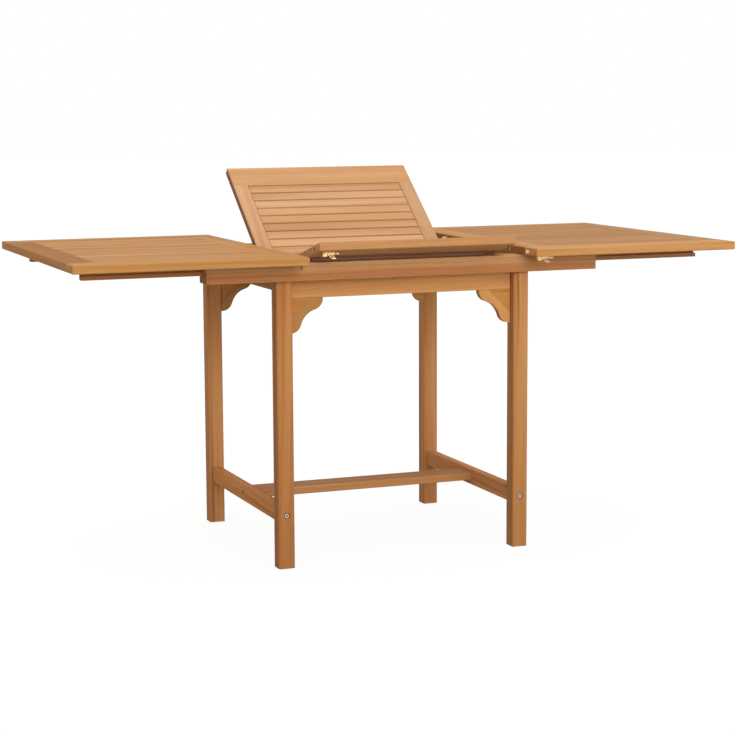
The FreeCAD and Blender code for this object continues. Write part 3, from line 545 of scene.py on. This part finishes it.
def plug_wood():
    """End grain of a teak plug: dark, with fine pores."""
    finish = new_finish("teak_plugs")
    grain = finish.noise(finish.steps(*END_GRAIN_STEPS), detail=3.0)
    finish.surface({
        "Base Color": finish.mix(*PLUG_BROWN, grain.between(*END_GRAIN_START_FULL)),
        "Roughness": PLUG_ROUGHNESS + grain * END_GRAIN_ROUGHER,
        "Normal": finish.bump(grain, END_GRAIN_DEPTH, END_GRAIN_STRENGTH),
        "Specular IOR Level": PLUG_SHEEN,
    })
    return finish.owner


def finish_nodes():
    """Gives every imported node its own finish, by the material slot that the record names for it."""
    bright = brass("brass_bright", BRIGHT_BRASS)
    plated = plated_steel("steel_plated", BRIGHT_ZINC)
    shaded_zinc = plated_steel("steel_dull", SHADED_ZINC)
    metals = {"brass": bright, "steel": plated}
    # Painted shade: darker metal on the left top's catches, the leaf's right stud, its lugs and its brackets
    shaded_metals = {
        "left_top_catches": brass("brass_aged", SHADED_BRASS),
        "leaf_front_studs": brass("brass_aged_right", BRIGHT_BRASS, SHADED_BRASS),
        "leaf_front_lugs": shaded_zinc,
        "leaf_pivot_brackets": shaded_zinc,
    }
    slots = {part["node"]: part["material_slot"] for part in frame["record"]["subparts"]}
    for number, node in enumerate(sorted(frame["nodes"])):
        if slots[node] in metals:
            made = shaded_metals.get(node, metals[slots[node]])
        else:
            kind = wood_of(node)
            made = teak("teak_" + node, Lie(node, kind["grain"]), kind, number * NODE_STEP)
        for slot in frame["nodes"][node].material_slots:
            slot.material = made
    return bright, plated


# Heads of the small fasteners, in millimetres; edges sharper than this, in degrees, stay crisp
HEAD_SIDES, CRISP_EDGE = 24, 35
HEAD_TURNS = [math.tau * side / HEAD_SIDES for side in range(HEAD_SIDES)]
BOLT_RADIUS, BOLT_TOP_RADIUS, BOLT_SHOULDER, BOLT_RISE = 5.2, 4.7, 2.8, 3.4
SOCKET_FLATS, SOCKET_FLOOR_FLATS, SOCKET_FLOOR = 5.2, 5.0, 1.6
SCREW_RADIUS, SCREW_RISE, FLUSH_RISE = 3.2, 1.0, 0.16
# Rings of a screw's dome, then rim and floor of its cross: sizes in screw radii, heights in its rise
SCREW_DOME = ((1.0, 0.0), (1.0, 0.3), (0.82, 0.8))
SCREW_CROSS = ((0.6, 0.17, 1.0), (0.42, 0.12, 0.15))
# Rings of a plug: radius and height
PLUG_DOME = ((6.5, 0.0), (6.5, 0.15), (6.1, 0.35), (3.0, 0.45), (0.5, 0.48))


def outline(reach):
    """The corners of a head's outline, from how far it reaches in each direction."""
    return [Vector((math.cos(turn), math.sin(turn), 0)) * reach(turn) for turn in HEAD_TURNS]


def circle(radius):
    return outline(lambda turn: radius)


def hexagon(flats):
    """Six-sided, by the distance across its flats."""
    sixth = math.pi / 3
    return outline(lambda turn: flats / 2 / math.cos((turn + sixth / 2) % sixth - sixth / 2))


def cross(length, width):
    """Two crossed bars, by half their length and half their width."""

    def reach(turn):
        c, s = max(abs(math.cos(turn)), 1e-6), max(abs(math.sin(turn)), 1e-6)
        return max(min(length / c, width / s), min(length / s, width / c))

    return outline(reach)


def bolt_head():
    """A cheese head with a hexagon socket. A head is a list of outlines, each with its height."""
    return [
        (circle(BOLT_RADIUS), 0.0),
        (circle(BOLT_RADIUS), BOLT_SHOULDER),
        (circle(BOLT_TOP_RADIUS), BOLT_RISE),
        (hexagon(SOCKET_FLATS), BOLT_RISE),
        (hexagon(SOCKET_FLOOR_FLATS), SOCKET_FLOOR),
    ]


def screw_head(rise):
    """A rounded head with a cross recess."""
    dome = [(circle(SCREW_RADIUS * radius), rise * height) for radius, height in SCREW_DOME]
    recess = []
    for length, width, height in SCREW_CROSS:
        recess.append((cross(SCREW_RADIUS * length, SCREW_RADIUS * width), rise * height))
    return dome + recess


def plug_head():
    """The end of a wooden plug over a bolt, sanded nearly flush."""
    return [(circle(radius), height) for radius, height in PLUG_DOME]


def seat(name, body, made, head, spots, lay=None, recess=None):
    """Makes one piece of like heads, each on its spot and facing outwards, and fixes it to a body.

    The last ring of a head is the floor of its recess, which can have a finish of its own."""
    whole = bmesh.new()
    for place, out in spots:
        stand = (lay or Matrix()) @ Matrix.Translation(Vector(place) * MM)
        stand = stand @ Vector(out).to_track_quat("Z", "Y").to_matrix().to_4x4() @ Matrix.Scale(MM, 4)
        rings = []
        for corners, height in head:
            rings.append([whole.verts.new(stand @ (corner + Vector((0, 0, height)))) for corner in corners])
        whole.faces.new(rings[0][::-1])
        for low, high in zip(rings, rings[1:]):
            for side in range(HEAD_SIDES):
                face = whole.faces.new((low[side - 1], low[side], high[side], high[side - 1]))
                face.material_index = int(recess is not None and high is rings[-1])
        whole.faces.new(rings[-1]).material_index = int(recess is not None)
    piece = bpy.data.objects.new(name, bpy.data.meshes.new(name))
    whole.to_mesh(piece.data)
    whole.free()
    piece.data.shade_smooth()
    piece.data.set_sharp_from_angle(angle=math.radians(CRISP_EDGE))
    for finish in (made, recess):
        if finish:
            piece.data.materials.append(finish)
    bpy.context.collection.objects.link(piece)
    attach(piece, body)


# Where the fasteners sit, in millimetres from the origin on the floor: bolts in the legs, plugs on the end
# stretchers, screws in the pivot brackets' plates and in the stop blocks
BOTH_SIDES, DOWN = (-1, 1), (0, 0, -1)
LEG_X, LEG_FACE_Y, BOLT_RECESS_DEPTH, BOLT_HEIGHT = 306, 301, 4, 128
STRETCHER_FACE_X, PLUG_HEIGHT = 318, 130.5
PIVOT_SCREW_XS, PIVOT_PLATE_Y, PIVOT_SCREW_HEIGHT = (200, 213), -260, 697
BLOCK_SCREW_XS, BLOCK_FACE_Y, BLOCK_SCREW_HEIGHT = (328, 339), 246, 702
# Screws under the tops: in the middle and inner battens and the stop cleats, by distance from the inner edge
TOP_INNER_EDGES = (("left_top", -1, 279), ("right_top", 1, 299))
BATTEN_SCREWS = ((275, (-225, -75, 75, 225)), (28, (-215, -72, 72, 215)))
BATTEN_FACE, CLEAT_INSET, CLEAT_SCREW_YS, CLEAT_FACE = 714, 14, (-257, 257), 710
# Screws in the hooks' bases under the right top and the leaf
HOOK_Y, HOOK_FACE, TOP_HOOK_SCREW_X, LEAF_HOOK_SCREW_X = 375, 727.5, 335, -214
# Screws in the leaf's hinges and lugs with the leaf lying flat, and how far its halves turn from there
HINGE_X, HINGE_SCREW_XS, HINGE_FACE_Y, HINGE_SCREW_HEIGHT = 140, (-17, 17), 0.4, 740
LUG_X, LUG_SCREW_YS, LUG_FACE, TABLE_HEIGHT = 239, (-261, -246), 727, 750
LEAF_TILT, LEAF_RISE = 14.3, 37.8


def seat_frame_fasteners(plated):
    """Bolts in the legs, plugs on the stretchers, screws in pivot brackets and stop blocks."""
    bolts, blocks = [], []
    for side_x in BOTH_SIDES:
        for side_y in BOTH_SIDES:
            bolt_y = side_y * (LEG_FACE_Y - BOLT_RECESS_DEPTH)
            bolts.append(((side_x * LEG_X, bolt_y, BOLT_HEIGHT), (0, side_y, 0)))
            for x in BLOCK_SCREW_XS:
                blocks.append(((side_x * x, side_y * BLOCK_FACE_Y, BLOCK_SCREW_HEIGHT), (0, -side_y, 0)))
    plugs = [((side_x * STRETCHER_FACE_X, 0, PLUG_HEIGHT), (side_x, 0, 0)) for side_x in BOTH_SIDES]
    pivots = []
    for side_x in BOTH_SIDES:
        pivots += [((side_x * x, PIVOT_PLATE_Y, PIVOT_SCREW_HEIGHT), (0, 1, 0)) for x in PIVOT_SCREW_XS]
    seat("stretcher_bolts", "frame", plated, bolt_head(), bolts, recess=socket_steel())
    seat("stretcher_plugs", "frame", plug_wood(), plug_head(), plugs)
    seat("pivot_bracket_screws", "frame", plated, screw_head(SCREW_RISE), pivots)
    seat("stop_block_screws", "frame", plated, screw_head(SCREW_RISE), blocks)


def seat_top_screws(bright, plated):
    """Screws under both tops, in battens, stop cleats and the right top's hook bases."""
    for body, side_x, inner in TOP_INNER_EDGES:
        spots = []
        for inset, ys in BATTEN_SCREWS:
            spots += [((side_x * (inner + inset), y, BATTEN_FACE), DOWN) for y in ys]
        spots += [((side_x * (inner + CLEAT_INSET), y, CLEAT_FACE), DOWN) for y in CLEAT_SCREW_YS]
        seat(body + "_screws", body, plated, screw_head(SCREW_RISE), spots)
    hooks = [((TOP_HOOK_SCREW_X, side_y * HOOK_Y, HOOK_FACE), DOWN) for side_y in BOTH_SIDES]
    seat("right_top_hook_screws", "right_top", bright, screw_head(FLUSH_RISE), hooks)


def turned_about(place, degrees):
    """A turn about a line along X through a place in metres."""
    there = Matrix.Translation(Vector(place))
    return there @ Matrix.Rotation(math.radians(degrees), 4, "X") @ there.inverted()


def seat_leaf_screws(bright, plated):
    """Screws of the leaf, in hook bases, hinges and lugs, turned with its half-unfolded halves."""
    pivot = next(joint for joint in frame["joints"] if joint["name"] == "leaf_tilt")["pos_m"]
    front = turned_about(pivot, -LEAF_TILT)
    back = front @ turned_about((0, 0, TABLE_HEIGHT * MM), LEAF_TILT + LEAF_RISE)
    for body, side_y, lay in (("leaf_front", -1, front), ("leaf_back", 1, back)):
        spots = [((LEAF_HOOK_SCREW_X, side_y * HOOK_Y, HOOK_FACE), DOWN)]
        for side_x in BOTH_SIDES:
            for x in HINGE_SCREW_XS:
                place = (side_x * HINGE_X + x, side_y * HINGE_FACE_Y, HINGE_SCREW_HEIGHT)
                spots.append((place, (0, -side_y, 0)))
        seat(body + "_hinge_screws", body, bright, screw_head(FLUSH_RISE), spots, lay)
    lugs = [((side_x * LUG_X, y, LUG_FACE), DOWN) for side_x in BOTH_SIDES for y in LUG_SCREW_YS]
    seat("leaf_lug_screws", "leaf_front", plated, screw_head(SCREW_RISE), lugs, front)


def seen_directly(finish):
    """1 for what the eye, a reflection or a clear piece shows, 0 for light that falls on the table."""
    path = finish.node("LightPath")
    return path["Is Camera Ray"].most(path["Is Glossy Ray"]).most(path["Is Transmission Ray"])


def mix_shaders(finish, first, second, share):
    """Shader first where share is 0, going to shader second where share is 1."""
    return finish.node("MixShader", {}, {"Fac": share, "Shader": first, "Shader_001": second})["Shader"]


def pale_floor():
    """A wide floor that keeps the table's shadow and looks nearly white."""
    floor = bpy.data.objects.new("floor", bpy.data.meshes.new("floor"))
    plane = bmesh.new()
    bmesh.ops.create_grid(plane, x_segments=1, y_segments=1, size=FLOOR_SIZE / 2)
    plane.to_mesh(floor.data)
    plane.free()
    bpy.context.collection.objects.link(floor)
    finish = new_finish("floor_pale")
    pale = finish.node("BsdfDiffuse", {}, {"Color": FLOOR_GREY})["BSDF"]
    glow = finish.node("Emission", {}, {"Color": WHITE, "Strength": FLOOR_GLOW})["Emission"]
    look = mix_shaders(finish, pale, glow, seen_directly(finish) * FLOOR_GLOW_SHARE)
    finish.node("OutputMaterial", {}, {"Surface": look})
    floor.data.materials.append(finish.owner)


def soft_light():
    """A sky that is white to the eye and lights the table at a plain level, and a soft key lamp."""
    sky = Finish(bpy.data.worlds.new("studio"))
    bpy.context.scene.world = sky.owner
    low, high, white = (
        sky.node("Background", {}, {"Color": WHITE, "Strength": strength})["Background"]
        for strength in (SKY_LOW, SKY_HIGH, SKY_SEEN)
    )
    rise = sky.dot(sky.node("TexCoord")["Generated"], ROW_AXES["Z"]).between(0.0, 1.0)
    graded = mix_shaders(sky, low, high, rise)
    sky.node("OutputWorld", {}, {"Surface": mix_shaders(sky, graded, white, seen_directly(sky))})

    key = bpy.data.objects.new("key", bpy.data.lights.new("key", "SUN"))
    key.data.energy = KEY_STRENGTH
    key.data.angle = math.radians(KEY_SOFTNESS)
    key.rotation_mode = "QUATERNION"
    key.rotation_quaternion = KEY_FROM.to_track_quat("Z", "Y")
    bpy.context.collection.objects.link(key)


def camera():
    """The photograph's eye."""
    yaw, pitch, roll = (math.radians(a) for a in (CAMERA_YAW, CAMERA_PITCH, CAMERA_ROLL))
    ahead = Vector((math.sin(yaw) * math.cos(pitch), math.cos(yaw) * math.cos(pitch), -math.sin(pitch)))
    level = Vector((math.cos(yaw), -math.sin(yaw), 0))
    up = level.cross(ahead)
    right = level * math.cos(roll) + up * math.sin(roll)
    top = up * math.cos(roll) - level * math.sin(roll)
    eye = bpy.data.objects.new("eye", bpy.data.cameras.new("eye"))
    eye.data.sensor_width = SENSOR_WIDTH
    eye.data.lens = FOCAL_PIXELS * SENSOR_WIDTH / PICTURE_PIXELS
    eye.matrix_world = Matrix.Translation(CAMERA_PLACE) @ Matrix((right, top, -ahead)).transposed().to_4x4()
    bpy.context.collection.objects.link(eye)
    bpy.context.scene.camera = eye


bright_brass, zinc = finish_nodes()
seat_frame_fasteners(zinc)
seat_top_screws(bright_brass, zinc)
seat_leaf_screws(bright_brass, zinc)
pale_floor()
soft_light()
camera()
bpy.context.scene.view_settings.view_transform = "Standard"
